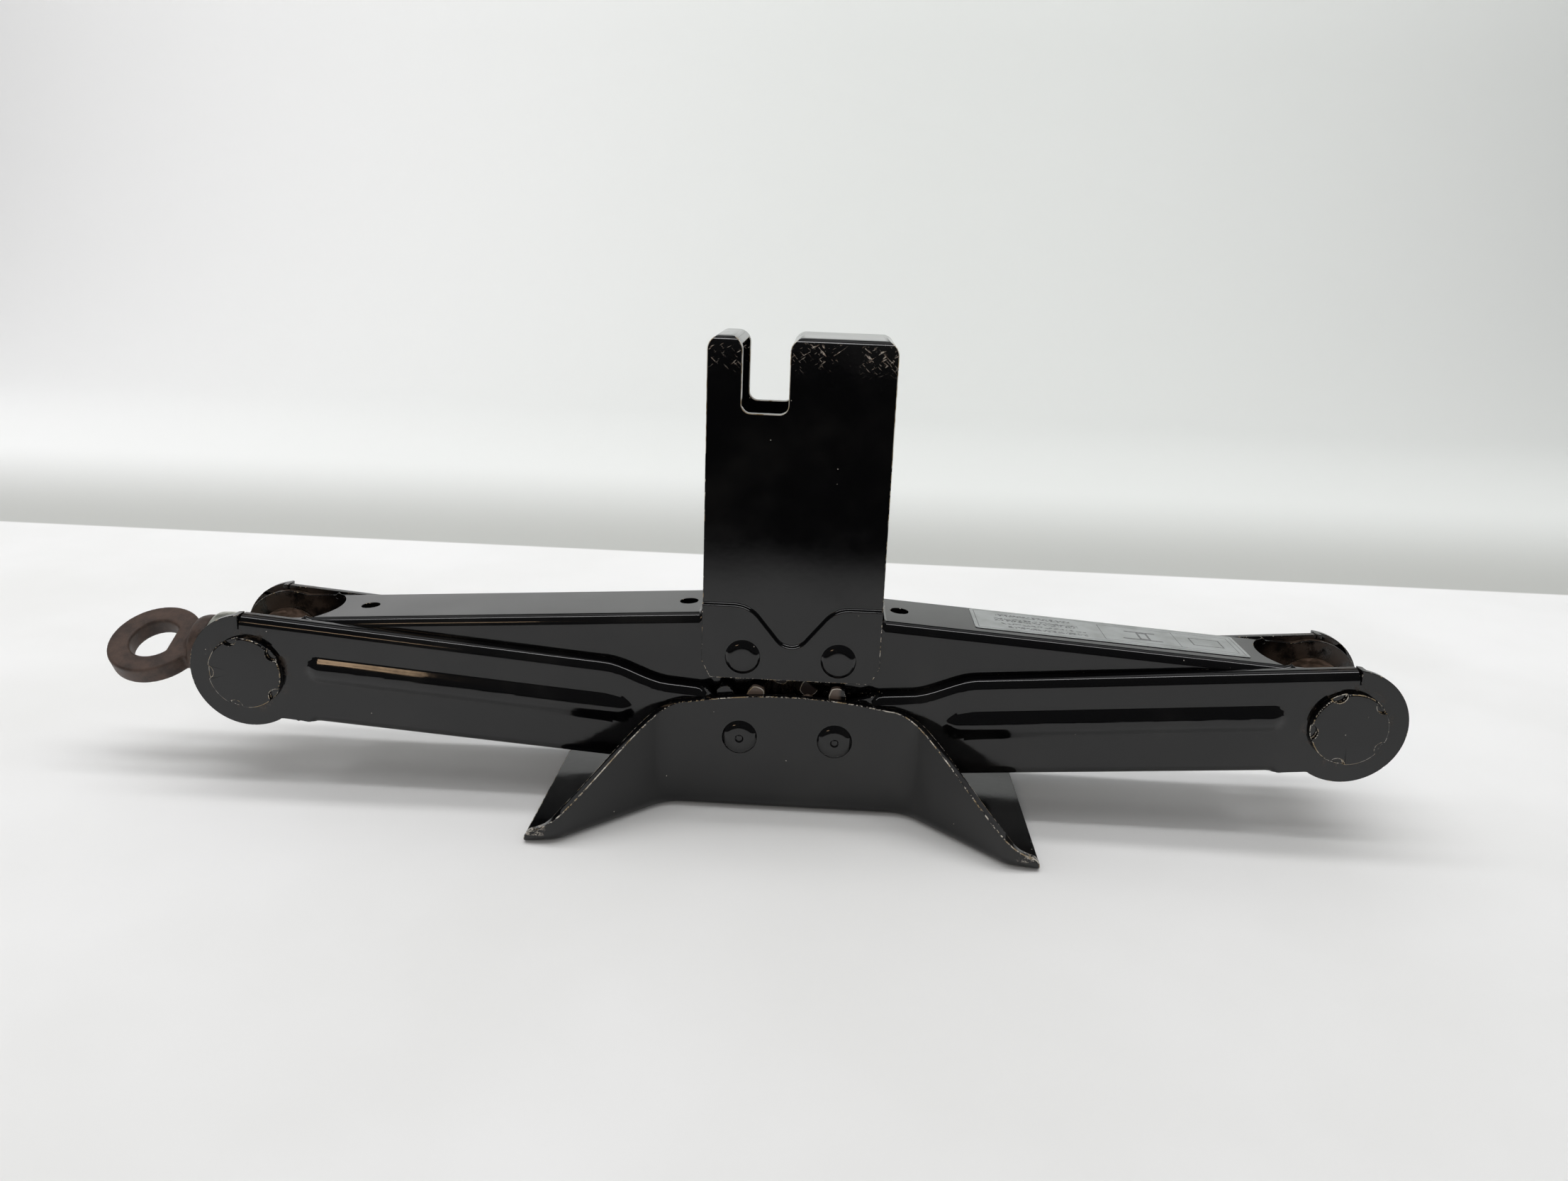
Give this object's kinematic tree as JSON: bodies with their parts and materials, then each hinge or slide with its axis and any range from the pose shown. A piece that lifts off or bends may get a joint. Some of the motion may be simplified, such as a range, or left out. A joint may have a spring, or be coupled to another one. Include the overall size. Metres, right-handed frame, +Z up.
{
  "type": "scissor car jack",
  "caption": "Folded scissor car jack: pressed steel base, four geared arms, slotted saddle, and a drive screw turned by a forged eye.",
  "frame": {"origin": "on the ground, under the middle of the base", "axes": "+X along the drive screw, away from the eye; +Y across the jack; +Z up, the way it lifts"},
  "size_m": [0.4626, 0.114, 0.1633],
  "materials": {
    "black_enamel": "gloss black enamel over pressed steel",
    "trunnion_steel": "thin brown-black coating on turned steel",
    "screw_steel": "greased rolled thread",
    "phosphated_eye": "dark brown phosphated forging",
    "zinc_plate": "zinc plated",
    "plain_steel": "plain steel",
    "bearing_bronze": "sintered bronze",
    "label_foil": "silver printed foil"
  },
  "bodies": {
    "base": {"base": "black_enamel", "left_base_pin": "black_enamel", "right_base_pin": "black_enamel"},
    "left_lower_arm": {"left_lower_arm": "black_enamel"},
    "right_lower_arm": {"right_lower_arm": "black_enamel"},
    "left_upper_arm": {"left_upper_arm": "black_enamel"},
    "right_upper_arm": {"right_upper_arm": "black_enamel", "rating_label": "label_foil"},
    "saddle": {"saddle": "black_enamel", "left_saddle_pin": "black_enamel", "right_saddle_pin": "black_enamel", "left_saddle_washers": "plain_steel", "right_saddle_washers": "plain_steel"},
    "bearing_trunnion": {"bearing_trunnion": "trunnion_steel", "left_trunnion_washers": "plain_steel", "thrust_shell": "zinc_plate", "thrust_ring": "bearing_bronze"},
    "nut_trunnion": {"nut_trunnion": "trunnion_steel", "right_trunnion_washers": "plain_steel"},
    "drive_screw": {"drive_screw": "screw_steel", "screw_eye": "phosphated_eye", "screw_stop_pin": "plain_steel"}
  },
  "joints": [
    {"name": "lift", "type": "hinge", "parent": "base", "child": "left_lower_arm", "pos_m": [-0.0165, 0, 0.0275], "axis": [0, 1, 0], "range_deg": [0, 50]},
    {"name": "right_lower_turn", "type": "hinge", "parent": "base", "child": "right_lower_arm", "pos_m": [0.0165, 0, 0.0275], "axis": [0, -1, 0], "range_deg": [0, 50]},
    {"name": "left_upper_turn", "type": "hinge", "parent": "left_lower_arm", "child": "left_upper_arm", "pos_m": [-0.19044, 0, 0.0415], "axis": [0, -1, 0], "range_deg": [0, 100]},
    {"name": "right_upper_turn", "type": "hinge", "parent": "right_lower_arm", "child": "right_upper_arm", "pos_m": [0.19044, 0, 0.0415], "axis": [0, 1, 0], "range_deg": [0, 100]},
    {"name": "saddle_level", "type": "hinge", "parent": "left_upper_arm", "child": "saddle", "pos_m": [-0.0165, 0, 0.0555], "axis": [0, 1, 0], "range_deg": [0, 50]},
    {"name": "bearing_level", "type": "hinge", "parent": "left_lower_arm", "child": "bearing_trunnion", "pos_m": [-0.19044, 0, 0.0415], "axis": [0, -1, 0], "range_deg": [0, 50]},
    {"name": "nut_level", "type": "hinge", "parent": "right_lower_arm", "child": "nut_trunnion", "pos_m": [0.19044, 0, 0.0415], "axis": [0, 1, 0], "range_deg": [0, 50]},
    {"name": "screw_spin", "type": "hinge", "parent": "bearing_trunnion", "child": "drive_screw", "pos_m": [-0.19044, 0, 0.0415], "axis": [1, 0, 0], "continuous": true}
  ],
  "couplings": [
    {"joint": "right_lower_turn", "follows": "lift", "ratio": 1},
    {"joint": "left_upper_turn", "follows": "lift", "ratio": 2},
    {"joint": "right_upper_turn", "follows": "lift", "ratio": 2},
    {"joint": "saddle_level", "follows": "lift", "ratio": 1},
    {"joint": "bearing_level", "follows": "lift", "ratio": 1},
    {"joint": "nut_level", "follows": "lift", "ratio": 1}
  ]
}
